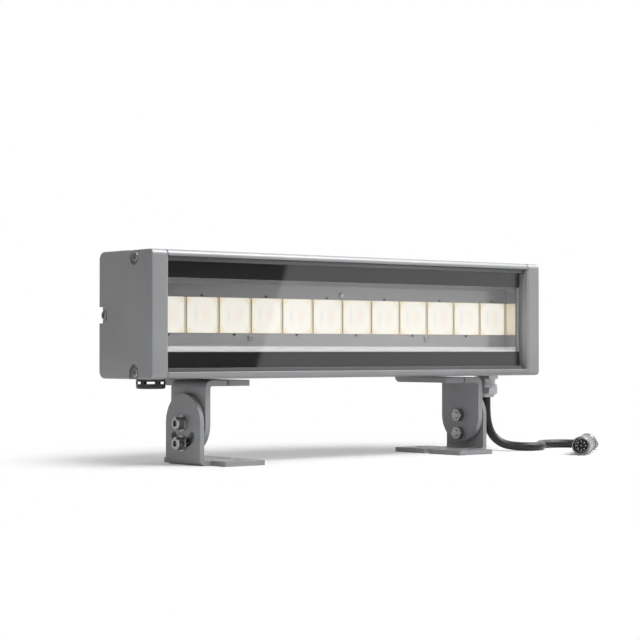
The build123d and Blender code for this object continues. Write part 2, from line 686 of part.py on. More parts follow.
def upper_bracket(side):
    """A lamp bracket: an upright, a plate under the lamp and a flange folded up behind it."""
    drop = PIVOT_HEIGHT - BRACKET_HALF_WIDTH
    edge = UPRIGHT_FACE - BRACKET_REACH
    profile = bracket_profile(UPRIGHT_FACE, BRACKET_PLATE, BRACKET_INNER_BEND, PLATE_TOP, BRACKET_REACH, drop)
    shape = along_y(profile, -BRACKET_HALF_WIDTH, BRACKET_HALF_WIDTH)
    shape &= along_x(upright_window(keep_below=False), edge, UPRIGHT_FACE)
    hole = BOLT_DIAMETER + 2 * BOLT_GAP
    for height in clamp_heights():
        shape -= rod_x(UPRIGHT_FACE - BRACKET_PLATE - 1, UPRIGHT_FACE + 1, 0, height, hole)
    shape = Pos(0, BRACKET_Y, 0) * shape
    outer = BACK_Y + BRACKET_PLATE
    wall = make_face(Polyline(
        (0, PLATE_UNDER), (outer, PLATE_UNDER), (outer, LAMP_BASE + FLANGE_TOP),
        (BACK_Y, LAMP_BASE + FLANGE_TOP), (BACK_Y, PLATE_TOP), (0, PLATE_TOP), close=True))
    corner = wall.vertices().sort_by_distance((outer, PLATE_UNDER))[0]
    wall = fillet(corner, BRACKET_PLATE + BRACKET_GAP / 2)
    flange = along_x(wall, edge, UPRIGHT_FACE - FLANGE_SETBACK)
    tips = flange.edges().filter_by(Axis.Y).group_by(Axis.Z)[-1]
    shape += fillet(tips, PLATE_CORNER)
    front = BRACKET_Y - BRACKET_HALF_WIDTH
    corners = shape.edges().filter_by(Axis.Z).filter_by_position(Axis.X, edge - 1, edge + 1)
    corners = corners.filter_by_position(Axis.Y, front - 1, front + 1)
    shape = fillet(corners, PLATE_CORNER)
    notch = Box(BRACKET_NOTCH, 2 * BRACKET_NOTCH_DEPTH, 2 * BRACKET_PLATE + 2)
    shape -= Pos(UPRIGHT_FACE - BRACKET_REACH / 2, front, PLATE_TOP) * notch
    for x in flange_screw_places():
        shape -= flange_screw(x, SCREW_GAP)
    return shape if side > 0 else mirror(shape, Plane.YZ)


def flange_screw_places():
    """The two screws of a bracket flange along X, for the right side."""
    middle = UPRIGHT_FACE - (BRACKET_REACH + FLANGE_SETBACK) / 2
    return [middle - FLANGE_SCREW_SPACING / 2, middle + FLANGE_SCREW_SPACING / 2]


def flange_screw(x, gap=0.0):
    """A countersunk screw from the back into the T-slot, or with a gap the hole for it."""
    face = BACK_Y + BRACKET_PLATE
    tip = BACK_Y - RAIL_LIP - TNUT_THICKNESS
    radius = BRACKET_SCREW / 2 + gap
    head = BRACKET_SCREW_HEAD / 2 + gap
    half = make_face(Polyline((0, tip), (radius, tip), (radius, face - head + radius), (head, face),
                              (0, face), close=True))
    return Pos(x, 0, LAMP_BASE + RAIL_CENTRE) * revolve(half, Axis.Y)


def bracket_screws():
    """Four countersunk screws that hold the brackets to the lamp."""
    hexagon = RegularPolygon(BRACKET_SCREW_SOCKET / 2, 6, major_radius=False)
    socket = extrude(Plane.XZ.offset(-BACK_Y - BRACKET_PLATE) * hexagon, BRACKET_SCREW_SOCKET_DEPTH)
    screws = []
    for x in flange_screw_places():
        for side in (-1, 1):
            place = Pos(side * x, 0, LAMP_BASE + RAIL_CENTRE)
            screws.append(flange_screw(side * x) - place * socket)
    return screws


def bracket_t_nuts():
    """Four T-slot nuts under the lips of the rail."""
    nuts = []
    for x in flange_screw_places():
        for side in (-1, 1):
            low, high = BACK_Y - RAIL_LIP - TNUT_THICKNESS, BACK_Y - RAIL_LIP
            half = (RAIL_SLOT_HEIGHT - SLIDE_GAP) / 2
            block = along_x(section(low, high, RAIL_CENTRE - half, RAIL_CENTRE + half),
                            side * x - TNUT_WIDTH / 2, side * x + TNUT_WIDTH / 2)
            nuts.append(block - rod_y(low - 1, high + 1, side * x, LAMP_BASE + RAIL_CENTRE,
                                      BRACKET_SCREW + 2 * SCREW_GAP))
    return nuts


def foot_outline():
    """The flat of a foot seen from above, for the right side: a neck at the fold and a wide sole."""
    neck = FOOT_FACE + FOOT_PLATE
    middle = neck - FOOT_NECK
    inner = neck - FOOT_REACH
    wide = make_face(Polyline((inner, -FOOT_HALF_WIDTH), (middle, -FOOT_HALF_WIDTH),
                              (middle, FOOT_HALF_WIDTH), (inner, FOOT_HALF_WIDTH), close=True))
    wide = fillet(wide.vertices(), PLATE_CORNER)
    strip = Pos((middle + neck) / 2 - PLATE_CORNER, 0) * Rectangle(FOOT_NECK + 2 * PLATE_CORNER,
                                                                  2 * BRACKET_HALF_WIDTH)
    notch = Pos(inner, 0) * Rectangle(2 * (NOTCH_OPEN_DEPTH - NOTCH_OPEN_WIDTH / 2), NOTCH_OPEN_WIDTH)
    notch += Pos(inner + NOTCH_OPEN_DEPTH - NOTCH_OPEN_WIDTH / 2, 0) * Circle(NOTCH_OPEN_WIDTH / 2)
    outline = wide + strip - notch
    for y in (-FOOT_HOLE_SPACING / 2, FOOT_HOLE_SPACING / 2):
        outline -= Pos(neck - FOOT_HOLE_REACH, y) * Circle(FOOT_HOLE / 2)
    return outline


def lower_bracket(side):
    """A foot: a flat with its fixing holes, folded up into an upright with a pivot hole and an arc slot."""
    face = FOOT_FACE + FOOT_PLATE
    top = PIVOT_HEIGHT + BRACKET_HALF_WIDTH
    profile = bracket_profile(face, FOOT_PLATE, FOOT_INNER_BEND, 0, FOOT_REACH, -top)
    profile = mirror(profile, Plane.XZ)
    shape = along_y(profile, -FOOT_HALF_WIDTH, FOOT_HALF_WIDTH)
    flat = extrude(foot_outline(), FOOT_PLATE)
    upright = along_x(upright_window(keep_below=True), face - FOOT_NECK, face)
    shape &= flat + upright
    slot_arc = CenterArc((0, PIVOT_HEIGHT), SLOT_RADIUS, 270 - TILT_LIMIT, 2 * TILT_LIMIT)
    shape -= along_x(SlotArc(slot_arc, SLOT_WIDTH), FOOT_FACE - 1, face + 1)
    shape -= rod_x(FOOT_FACE - 1, face + 1, 0, PIVOT_HEIGHT, BOLT_DIAMETER + 2 * BOLT_GAP)
    shape = Pos(0, BRACKET_Y, 0) * shape
    return shape if side > 0 else mirror(shape, Plane.YZ)


def clamp_heights():
    """Heights of the pivot bolt and of the lock bolt in the arc slot."""
    return (PIVOT_HEIGHT, PIVOT_HEIGHT - SLOT_RADIUS)


def on_both_brackets(pieces):
    """Pieces of the right side moved to the brackets' middle, and their mirror images on the left."""
    moved = [Pos(0, BRACKET_Y, 0) * piece for piece in pieces]
    return moved + [mirror(piece, Plane.YZ) for piece in moved]


def clamp_bolt(height):
    """A socket head bolt that goes in from outside, through the foot and the lamp bracket."""
    seat = FOOT_FACE + FOOT_PLATE + SEAT_GAP + WASHER_THICKNESS
    tip = UPRIGHT_FACE - BRACKET_PLATE - SEAT_GAP - NUT_HEIGHT - BOLT_TAIL
    head = rod_z(0, BOLT_HEAD_HEIGHT, 0, 0, BOLT_HEAD)
    head = chamfer(head.edges().sort_by(Axis.Z)[-1], BOLT_HEAD_EDGE)
    socket = RegularPolygon(BOLT_SOCKET / 2, 6, major_radius=False)
    head -= extrude(Plane.XY.offset(BOLT_HEAD_HEIGHT - BOLT_SOCKET_DEPTH) * socket, BOLT_SOCKET_DEPTH + 1)
    shank = rod_x(tip, seat, 0, height, BOLT_DIAMETER)
    shank = chamfer(shank.edges().sort_by(Axis.X)[0], BOLT_TIP_EDGE)
    return facing_x(head, seat, 0, height) + shank


def clamp_nut(height):
    """A hexagon nut on the inner face of the lamp bracket."""
    seat = UPRIGHT_FACE - BRACKET_PLATE - SEAT_GAP
    nut = facing_x(Rot(0, 0, 30) * hex_prism(NUT_FLATS, NUT_HEIGHT), seat - NUT_HEIGHT, 0, height)
    return nut - rod_x(seat - NUT_HEIGHT - 1, seat + 1, 0, height, BOLT_DIAMETER + 2 * SCREW_GAP)


def clamp_washer(height):
    """A washer under a bolt head."""
    seat = FOOT_FACE + FOOT_PLATE + SEAT_GAP
    ring = rod_x(seat, seat + WASHER_THICKNESS, 0, height, WASHER_DIAMETER)
    return ring - rod_x(seat - 1, seat + WASHER_THICKNESS + 1, 0, height, BOLT_DIAMETER + 2 * SCREW_GAP)


def friction_washer():
    """The plastic ring between foot and lamp bracket, round the pivot bolt."""
    low = UPRIGHT_FACE + SEAT_GAP
    high = FOOT_FACE - SEAT_GAP
    ring = rod_x(low, high, 0, PIVOT_HEIGHT, FRICTION_DIAMETER)
    return ring - rod_x(low - 1, high + 1, 0, PIVOT_HEIGHT, BOLT_DIAMETER + 2 * SCREW_GAP)


def at_gland(shape, z):
    """Place a shape on the axis of the cable gland."""
    return Pos(GLAND_X, GLAND_Y, z) * shape


def gland_body():
    """The part of the gland that screws into the lamp: thread, hexagon and neck."""
    hexagon = LAMP_BASE - GLAND_HEX_HEIGHT
    neck = hexagon - GLAND_NECK_HEIGHT
    shape = at_gland(hex_prism(GLAND_HEX, GLAND_HEX_HEIGHT), hexagon)
    shape += rod_z(LAMP_BASE, LAMP_BASE + RAIL_UNDER_WEB, GLAND_X, GLAND_Y, GLAND_THREAD)
    shape += rod_z(neck, hexagon, GLAND_X, GLAND_Y, GLAND_NECK)
    return shape - rod_z(neck - 1, LAMP_TOP, GLAND_X, GLAND_Y, CABLE_DIAMETER + 2 * CABLE_GAP)


def gland_nut():
    """The clamping nut: a ring, a hexagon and a domed mouth."""
    ring_top = LAMP_BASE - GLAND_HEX_HEIGHT - GLAND_NECK_HEIGHT
    nut_top = ring_top - GLAND_RING_HEIGHT
    dome_top = nut_top - GLAND_NUT_HEIGHT
    shape = rod_z(nut_top, ring_top, GLAND_X, GLAND_Y, GLAND_RING)
    shape += at_gland(hex_prism(GLAND_NUT_HEX, GLAND_NUT_HEIGHT), dome_top)
    dome = turned([(0, 0), (GLAND_DOME_TOP / 2, 0), (GLAND_NUT_HEX / 2 - GLAND_DOME_STEP, GLAND_DOME_HEIGHT),
                   (0, GLAND_DOME_HEIGHT)])
    shape += at_gland(dome, GLAND_EXIT)
    shape -= rod_z(GLAND_EXIT - 1, ring_top + 1, GLAND_X, GLAND_Y, CABLE_DIAMETER + 2 * CABLE_GAP)
    seat = ring_top - GLAND_SEAL_HEIGHT
    return shape - rod_z(seat, ring_top + 1, GLAND_X, GLAND_Y, GLAND_SEAL_DIAMETER + 2 * CABLE_GAP)


def gland_seal():
    """The rubber sleeve that the nut squeezes onto the cable."""
    ring_top = LAMP_BASE - GLAND_HEX_HEIGHT - GLAND_NECK_HEIGHT
    sleeve = rod_z(ring_top - GLAND_SEAL_HEIGHT, ring_top, GLAND_X, GLAND_Y, GLAND_SEAL_DIAMETER)
    return sleeve - rod_z(GLAND_EXIT, LAMP_BASE, GLAND_X, GLAND_Y, CABLE_DIAMETER + 2 * CABLE_GAP)


def cable_tail():
    """The stretch of cable inside the gland and the lamp."""
    return rod_z(GLAND_EXIT, CABLE_TAIL_TOP, GLAND_X, GLAND_Y, CABLE_DIAMETER)


def power_cable():
    """The free pigtail: straight runs joined by arcs as large as the runs allow."""
    runs = [after - before for before, after in zip(CABLE_POINTS, CABLE_POINTS[1:])]
    radii = []
    for before, after in zip(runs, runs[1:]):
        half_turn = math.radians(before.get_angle(after)) / 2
        radii.append(0.45 * min(before.length, after.length) / math.tan(half_turn))
    print("cable radii", [round(radius, 1) for radius in radii])
    path = FilletPolyline(*CABLE_POINTS, radius=radii)
    section_plane = Plane(origin=path @ 0, z_dir=path % 0)
    tube = sweep(section_plane * Circle(CABLE_DIAMETER / 2), path=path)
    expected = math.pi * (CABLE_DIAMETER / 2) ** 2 * path.length
    print("cable length", round(path.length, 1), "volume ratio", round(tube.volume / expected, 5))
    return tube


def at_connector(shape):
    """Place a shape that runs along +Z from the cable entry of the connector."""
    return Pos(*CABLE_POINTS[-1]) * Rot(0, 0, CONNECTOR_TURN) * Rot(0, 90, 0) * shape


def turned(points):
    """A round piece from the outline of its half section, as (radius, distance from the cable entry)."""
    return revolve(Plane.XZ * make_face(Polyline(*points, close=True)), Axis.Z)


def connector_rear_nut():
    """The tapered nut that clamps the cable."""
    nut = turned([(0, 0), (REAR_NUT_TIP / 2, 0), (REAR_NUT_DIAMETER / 2, REAR_NUT_TAPER),
                  (REAR_NUT_DIAMETER / 2, REAR_NUT_LENGTH), (0, REAR_NUT_LENGTH)])
    return at_connector(nut)


def connector_body():
    """The grip of the connector and the neck that carries the sleeve and the contacts."""
    start = REAR_NUT_LENGTH
    shoulder = start + GRIP_LENGTH
    end = shoulder + NECK_LENGTH
    grip = GRIP_DIAMETER / 2
    bore = INSERT_DIAMETER / 2 + CABLE_GAP
    neck = NECK_DIAMETER / 2
    collar = shoulder + 2 * SLEEVE_GAP + SLEEVE_BEARING
    body = turned([(0, start), (grip - GRIP_EDGE, start), (grip, start + GRIP_EDGE),
                   (grip, start + GRIP_RIM), (grip - GRIP_STEP, start + GRIP_RIM + GRIP_STEP),
                   (grip - GRIP_STEP, shoulder), (neck, shoulder), (neck, collar),
                   (COLLAR_DIAMETER / 2, collar), (COLLAR_DIAMETER / 2, collar + COLLAR_LENGTH),
                   (neck, collar + COLLAR_LENGTH), (neck, end), (bore, end),
                   (bore, end - INSERT_LENGTH), (0, end - INSERT_LENGTH)])
    return at_connector(body)


def connector_sleeve():
    """The coupling sleeve that turns on the neck, with a ribbed grip and an open mouth."""
    start = REAR_NUT_LENGTH + GRIP_LENGTH + SLEEVE_GAP
    end = start + SLEEVE_LENGTH
    outer = SLEEVE_DIAMETER / 2
    bearing = NECK_DIAMETER / 2 + BOLT_GAP
    mouth = start + SLEEVE_BEARING
    sleeve = turned([(bearing, start), (outer - SLEEVE_EDGE, start), (outer, start + SLEEVE_EDGE),
                     (outer, end - SLEEVE_EDGE), (outer - SLEEVE_EDGE, end), (SLEEVE_BORE / 2, end),
                     (SLEEVE_BORE / 2, mouth), (bearing, mouth)])
    groove = rod_z(start + RIB_START, start + RIB_END, outer, 0, 2 * RIB_DEPTH)
    for number in range(RIB_COUNT):
        sleeve -= Rot(0, 0, number * 360 / RIB_COUNT) * groove
    return at_connector(sleeve)


def connector_insert():
    """The moulded block that holds the contacts."""
    end = REAR_NUT_LENGTH + GRIP_LENGTH + NECK_LENGTH
    block = rod_z(end - INSERT_LENGTH, end, 0, 0, INSERT_DIAMETER)
    for x, y in pin_places():
        block -= rod_z(end - INSERT_LENGTH / 2, end + 1, x, y, PIN_DIAMETER + 2 * SCREW_GAP)
    return at_connector(block)


def pin_places():
    """Contacts on a circle, with one in the middle."""
    ring = [(PIN_CIRCLE / 2 * math.cos(2 * math.pi * number / PIN_COUNT),
             PIN_CIRCLE / 2 * math.sin(2 * math.pi * number / PIN_COUNT)) for number in range(PIN_COUNT)]
    return ring + [(0.0, 0.0)]


def connector_pins():
    """The contacts, standing out of the insert inside the sleeve."""
    end = REAR_NUT_LENGTH + GRIP_LENGTH + NECK_LENGTH
    return [at_connector(rod_z(end - INSERT_LENGTH / 2, end + PIN_LENGTH, x, y, PIN_DIAMETER))
            for x, y in pin_places()]


def vent_body():
    """The threaded part of the breather plug, with the disc that seals against the lamp."""
    low = LAMP_BASE - VENT_FLANGE
    body = rod_z(low, LAMP_BASE, VENT_X, VENT_Y, VENT_DIAMETER)
    body += rod_z(LAMP_BASE, LAMP_BASE + RAIL_UNDER_WEB, VENT_X, VENT_Y, VENT_THREAD)
    body -= rod_z(low - 1, LAMP_TOP, VENT_X, VENT_Y, VENT_BORE)
    return body - rod_z(low - 1, low + VENT_MEMBRANE_THICKNESS, VENT_X, VENT_Y,
                        VENT_MEMBRANE + 2 * SCREW_GAP)


def vent_membrane():
    """The disc of breathing film under the bore of the plug."""
    low = LAMP_BASE - VENT_FLANGE
    return rod_z(low, low + VENT_MEMBRANE_THICKNESS, VENT_X, VENT_Y, VENT_MEMBRANE)


def vent_cap():
    """The cover of the breather plug: a rounded cup whose rim is cut into six windows."""
    low = LAMP_BASE - VENT_HEIGHT
    top = LAMP_BASE - VENT_FLANGE
    cap = rod_z(low, top, VENT_X, VENT_Y, VENT_DIAMETER)
    cap = fillet(cap.edges().sort_by(Axis.Z)[0], VENT_EDGE)
    cap -= rod_z(top - VENT_WINDOW, top + 1, VENT_X, VENT_Y, VENT_DIAMETER - 2 * VENT_WALL)
    half = math.radians(360 / VENT_WINDOWS - VENT_RIB_ANGLE) / 2
    reach = VENT_DIAMETER
    wedge = make_face(Polyline((0, 0), (reach * math.cos(half), -reach * math.sin(half)),
                               (reach * math.cos(half), reach * math.sin(half)), close=True))
    window = extrude(wedge, VENT_WINDOW + 1)
    for number in range(VENT_WINDOWS):
        turn = VENT_AIM + number * 360 / VENT_WINDOWS
        cap -= Pos(VENT_X, VENT_Y, top - VENT_WINDOW) * Rot(0, 0, turn) * window
    return cap


def rear_box(x, length, z_middle, height, depth, lift=0.0):
    """A block in the rear chamber that stands on the web."""
    profile = section(REAR_Y + lift, REAR_Y + lift + depth, z_middle - height / 2, z_middle + height / 2)
    return along_x(profile, x - length / 2, x + length / 2)


def led_driver():
    """The potted driver: a case with rounded long edges and a fixing tab at each end."""
    case = rear_box(DRIVER_X, DRIVER_LENGTH, LAMP_HEIGHT / 2, DRIVER_HEIGHT, DRIVER_DEPTH)
    case = fillet(case.edges().filter_by(Axis.X).group_by(Axis.Y)[-1], 3.0)
    case += rear_box(DRIVER_X, DRIVER_LENGTH + 2 * DRIVER_TAB, LAMP_HEIGHT / 2, DRIVER_HEIGHT / 2,
                     DRIVER_TAB_THICKNESS)
    for x, z in driver_screw_places():
        case -= rod_y(REAR_Y - 1, REAR_Y + DRIVER_TAB_THICKNESS + 1, x, z, TRAY_SCREW + 2 * SCREW_GAP)
    return case


def driver_screw_places():
    """The screws of the driver's tabs as (x, z)."""
    reach = DRIVER_LENGTH / 2 + DRIVER_TAB / 2
    return [(DRIVER_X + side * reach, LAMP_MIDDLE) for side in (-1, 1)]


def driver_screws():
    """Two screw heads on the driver's tabs, with their shanks in the tabs."""
    screws = []
    for x, z in driver_screw_places():
        seat = REAR_Y + DRIVER_TAB_THICKNESS
        shank = rod_y(REAR_Y, seat, x, z, TRAY_SCREW)
        screws.append(shank + rod_y(seat, seat + TRAY_SCREW_HEAD_HEIGHT, x, z, TRAY_SCREW_HEAD))
    return screws


def control_board():
    """The control board with the four pillars it stands on."""
    board = rear_box(CONTROL_X, CONTROL_LENGTH, LAMP_HEIGHT / 2, CONTROL_HEIGHT, BOARD_THICKNESS,
                     CONTROL_STANDOFF)
    for side in (-1, 1):
        for level in (-1, 1):
            x = CONTROL_X + side * (CONTROL_LENGTH / 2 - PILLAR_INSET)
            z = LAMP_MIDDLE + level * (CONTROL_HEIGHT / 2 - PILLAR_INSET)
            board += rod_y(REAR_Y, REAR_Y + CONTROL_STANDOFF, x, z, SPACER_DIAMETER)
    return board


def control_parts():
    """Three chips and three capacitors on the control board."""
    top = REAR_Y + CONTROL_STANDOFF + BOARD_THICKNESS
    parts = []
    for step in (-1, 0, 1):
        x = CONTROL_X + step * CONTROL_SPACING
        parts.append(rear_box(x, CHIP_SIZE, LAMP_HEIGHT / 2 - CHIP_ROW, CHIP_SIZE, CHIP_HEIGHT,
                              CONTROL_STANDOFF + BOARD_THICKNESS))
        parts.append(rod_y(top, top + CAPACITOR_HEIGHT, x, LAMP_MIDDLE + CHIP_ROW, CAPACITOR_DIAMETER))
    return parts


def terminal_block():
    """The terminal block where the cable cores end, with a row of screw wells."""
    middle = TERMINAL_Z + TERMINAL_HEIGHT
    block = rear_box(TERMINAL_X, TERMINAL_LENGTH, middle, TERMINAL_HEIGHT, TERMINAL_DEPTH)
    front = REAR_Y + TERMINAL_DEPTH
    for number in range(CORE_COUNT):
        x = TERMINAL_X + (number - (CORE_COUNT - 1) / 2) * TERMINAL_LENGTH / CORE_COUNT
        block -= rod_y(front - TERMINAL_WELL_DEPTH, front + 1, x, LAMP_BASE + middle, TERMINAL_WELL)
    return block


def cable_cores():
    """The cores that fan out from the cable's end to the terminal block."""
    cores = []
    rise = Vector(0, 0, CORE_STRAIGHT)
    entry_y = REAR_Y + TERMINAL_DEPTH / 2
    for number in range(CORE_COUNT):
        place = number - (CORE_COUNT - 1) / 2
        low = Vector(GLAND_X + place * (CORE_DIAMETER + CORE_SPREAD), GLAND_Y, CABLE_TAIL_TOP)
        high = Vector(TERMINAL_X + place * TERMINAL_LENGTH / CORE_COUNT, entry_y,
                      LAMP_BASE + TERMINAL_Z + TERMINAL_HEIGHT / 2)
        path = FilletPolyline(low, low + rise, high - rise, high, radius=CORE_BEND)
        cores.append(sweep(Plane(origin=low, z_dir=(0, 0, 1)) * Circle(CORE_DIAMETER / 2), path=path))
    return cores


def save(name, shape):
    """Write one sub-part, or a group of separate solids, to its own file."""
    if isinstance(shape, list):
        shape = Compound(children=[solid for piece in shape for solid in piece.solids()])
    export_step(shape, f"parts/{name}.step")


def build_all():
    """Make every sub-part and write it."""
    os.makedirs("parts", exist_ok=True)
    save("housing", housing())
    for name, side in (("left", -1), ("right", 1)):
        save(f"end_cap_{name}", end_cap(side))
        save(f"cap_gasket_{name}", cap_gasket(side))
        save(f"upper_bracket_{name}", upper_bracket(side))
        save(f"lower_bracket_{name}", lower_bracket(side))
    heights = clamp_heights()
    save("clamp_bolts", on_both_brackets([clamp_bolt(height) for height in heights]))
    save("clamp_nuts", on_both_brackets([clamp_nut(height) for height in heights]))
    save("clamp_washers", on_both_brackets([clamp_washer(height) for height in heights]))
    save("friction_washers", on_both_brackets([friction_washer()]))
    save("cap_screws", cap_screws())
    save("front_glass", front_glass())
    for name, upper in (("upper", True), ("lower", False)):
        save(f"glass_band_{name}", glass_band(upper))
        save(f"retaining_strip_{name}", retaining_strip(upper))
    save("glass_seal", glass_seal())
    save("reflector_tray", reflector_tray())
    save("tray_spacers", tray_spacers())
    save("tray_screws", tray_screws())
    one_lens = lens()
    for number, x in enumerate(lens_places(), start=1):
        save(f"lens_{number:02d}", Pos(x, 0, LAMP_BASE + LENS_CENTRE) * one_lens)
    save("led_board", led_board())
    save("thermal_pad", thermal_pad())
    save("led_emitters", emitters())
    save("bracket_screws", bracket_screws())
    save("bracket_t_nuts", bracket_t_nuts())
    save("gland_body", gland_body())
    save("gland_nut", gland_nut())
    save("gland_seal", gland_seal())
    save("cable_tail", cable_tail())
    save("cable_cores", cable_cores())
    save("power_cable", power_cable())
    save("connector_rear_nut", connector_rear_nut())
    save("connector_body", connector_body())
    save("connector_sleeve", connector_sleeve())
    save("connector_insert", connector_insert())
    save("connector_pins", connector_pins())
    save("vent_body", vent_body())
    save("vent_cap", vent_cap())
    save("vent_membrane", vent_membrane())
    save("led_driver", led_driver())
    save("driver_screws", driver_screws())
    save("control_board", control_board())
    save("control_parts", control_parts())
    save("terminal_block", terminal_block())


build_all()
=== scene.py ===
import json
import math

import bpy
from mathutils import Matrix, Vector


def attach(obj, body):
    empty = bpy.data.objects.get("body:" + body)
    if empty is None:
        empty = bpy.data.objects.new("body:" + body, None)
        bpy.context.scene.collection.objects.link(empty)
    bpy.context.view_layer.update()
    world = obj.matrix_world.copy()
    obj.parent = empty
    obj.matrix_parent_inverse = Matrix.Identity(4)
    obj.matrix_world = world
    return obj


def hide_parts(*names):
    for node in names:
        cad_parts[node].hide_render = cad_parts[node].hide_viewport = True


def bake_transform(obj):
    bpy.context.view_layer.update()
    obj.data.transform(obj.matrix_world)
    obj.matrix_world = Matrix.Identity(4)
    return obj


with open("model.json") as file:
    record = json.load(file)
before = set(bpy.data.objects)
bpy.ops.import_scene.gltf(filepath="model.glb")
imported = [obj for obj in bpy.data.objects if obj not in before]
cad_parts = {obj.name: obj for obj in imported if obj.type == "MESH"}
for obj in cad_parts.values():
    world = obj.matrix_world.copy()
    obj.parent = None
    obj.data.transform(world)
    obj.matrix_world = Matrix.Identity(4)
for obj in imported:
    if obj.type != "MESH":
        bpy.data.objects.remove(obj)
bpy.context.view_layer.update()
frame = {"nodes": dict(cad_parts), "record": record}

nodes = frame["nodes"]
scene = bpy.context.scene

# ---- camera, solved from the lines of the lamp in the photo ----
CAMERA_PLACE = (-1.25475, -1.5191, 0.1133)
CAMERA_HEADING = 39.14
CAMERA_PITCH = 0.94
CAMERA_LENS = 104.74

# ---- the free cable: the same points as in the part, in metres from the gland's axis ----
GLAND_X = 0.2245
CABLE_ROUTE = [
    (0.0, 0.0, 0.0606),
    (0.0, 0.0, 0.0473),
    (0.0007, -0.0006, 0.0335),
    (0.0039, -0.0032, 0.0195),
    (0.0109, -0.0095, 0.0096),
    (0.0201, -0.0196, 0.0054),
    (0.0330, -0.0371, 0.0049),
    (0.0565, -0.0344, 0.0049),
    (0.0784, -0.0059, 0.0049),
    (0.0998, -0.0013, 0.0049),
    (0.1193, -0.0111, 0.0049),
    (0.1283, -0.0310, 0.0049),
    (0.1229, -0.0522, 0.0049),
    (0.1074, -0.0650, 0.0070),
    (0.0920, -0.0741, 0.0105),
    (0.0780, -0.0846, 0.0105),
]
CABLE_RADIUS = 0.0048

DARK = (0.01, 0.01, 0.01)   # the colour of painted shade: the line under the lip, the notches in the tray and the back of a lens, which has none of its light

# ---- ground, world and what mirrors show ----
FLOOR_SIZE = 24.0
FLOOR_NEAR = 0.20          # the ground takes shadows up to here, and is plain white beyond FLOOR_FAR
FLOOR_FAR = 0.38
FLOOR_MIDDLE = 0.13        # these distances start from a line this long, from the lamp's middle to its cable
FLOOR_LIFT = 0.06          # the share of plain white in the shadow
WORLD_LEFT = 0.54          # light from the world, at its left and right ends
WORLD_RIGHT = 0.74
CARD_DARK = 0.24           # tones of the cards in front, to the left and above
CARD_LEFT = 0.25
CARD_TOP = 3.6
PANEL_TONE = 1.45          # the bright panel that the glass mirrors over the right part of the lenses
PANEL_LEFT = 1.33
PANEL_RIGHT = 2.203
PANEL_LEAN = 0.37          # how far its left edge leans to the right, for each metre of height
PANEL_SOFT = 0.012

# ---- painted shade: a dark line under the lip of the body, where the upper bar of the glass meets it ----
LIP_SHADE_Z = 0.2036
LIP_SHADE_CORE = 0.0003       # the line of painted shade is dark up to here from its middle, and gone at the rim distance below
LIP_SHADE_RIM = 0.0010
LIP_SHADE_BACK_Y = -0.044     # the painted shade is drawn in front of this alone
LIP_SHADE_SOFT = 0.001

# ---- glass ----
GLASS_IOR = 1.45
GLASS_TWO_FACES = 1.8      # the pane mirrors on both faces, and the shader counts the first alone

# ---- lenses; spots and steps are measured from the middle of a lens ----
LAMP_BASE = 0.0856         # underside of the lamp above the ground
LENS_CENTRE = 0.063        # above the underside of the lamp
LENS_Z = LAMP_BASE + LENS_CENTRE
LENS_COUNT = 12
LENS_PITCH = 0.0401
LENS_SIDE = 0.01845        # half the width of a lens
LENS_PLATE_SHARE = 0.3     # the visible plates are this much of the thickness of the solid ones
LENS_PALE = (1.0, 0.975, 0.87)
LENS_WARM = (0.96, 0.86, 0.64)
LENS_CORE = (1.0, 0.905, 0.80)
LENS_SHADE = (0.91, 0.89, 0.81)
LENS_EDGE = (0.82, 0.70, 0.52)
LENS_DOME = (0.0184, 0.0216)      # the pale dome ends and the warm corners begin over this span
LENS_UNEVEN = 0.006               # how far the noise shifts that span
CORE_SHIFT = 0.0046               # the emitter shows to the right of the middle
CORE_SPAN = (0.0015, 0.0085)
CORE_SQUASH = 0.62                # below 1 a spot is taller than it is wide
SHADE_SHIFT = -0.0080             # a faint upright streak shows to the left
SHADE_SPAN = (0.0004, 0.0030)
SHADE_SQUASH = 0.22
LENS_BORDER = 0.0014              # width of the warm border
LENS_RIM = 0.0004                 # width over which the border turns into the side of the plate
LENS_GLOW = 0.63
LENS_EDGE_GLOW = 0.30
LENS_DIM = 0.30                   # how much of the light that falls on a lens comes back
LENS_FRONT_SOFT = 0.0005          # the glow ends over this depth, at the face of the tray, and behind it the lens takes painted shade

# ---- reflector tray ----
TRAY_FACE_Y = -0.013
TRAY_LOW = 0.1176          # lower edge of the tray's flat floor
TRAY_HIGH = 0.1806         # its upper fold
TRAY_END = 0.2417          # its right end wall, which mirrors the lenses
TRAY_ROW = 0.0178          # half the height of the row of lenses; between them the tray is painted with the lenses' warm light
# painted light: the warm light of the lenses on the tray between them
TRAY_LENS_LIGHT = (0.85, 0.78, 0.64)
# painted shade: the upper part of the tray's floor is darker, as the lip above shades it
TRAY_LOWER = (0.33, 0.33, 0.332)
TRAY_UPPER_SHADED = (0.25, 0.25, 0.252)
TRAY_SPECK = (0.5, 0.5, 0.5)
TRAY_WALL = (0.88, 0.86, 0.83)
# painted light: the lower slope is much paler, for the light and reflections it catches
TRAY_SLOPE_LIT = (0.74, 0.74, 0.738)
TRAY_FADE = 0.02           # the floor turns from the lower tone to the upper, painted shaded tone within this of the lenses' middle
TRAY_METALLIC = 0.6
TRAY_ROUGH = 0.26
WALL_METALLIC = 0.9
WALL_ROUGH = 0.10
SLOPE_SOFT = 0.0004        # the spans over which the slope, the end wall and the row begin
WALL_SOFT = 0.0008
ROW_SOFT = 0.0005
FOLD_SPAN = (0.0004, 0.0012)      # from the middle of the fold's painted highlight, and of a notch's painted shade, to where each is gone
NOTCH_SPAN = (0.0012, 0.0022)
NOTCH_REACH = 0.0190       # from the middle of the lenses to the notches beside them, which are painted dark as shade
NOTCHES = ((7.5, NOTCH_REACH), (6.5, -NOTCH_REACH))    # turned by so many pitches, and at this height


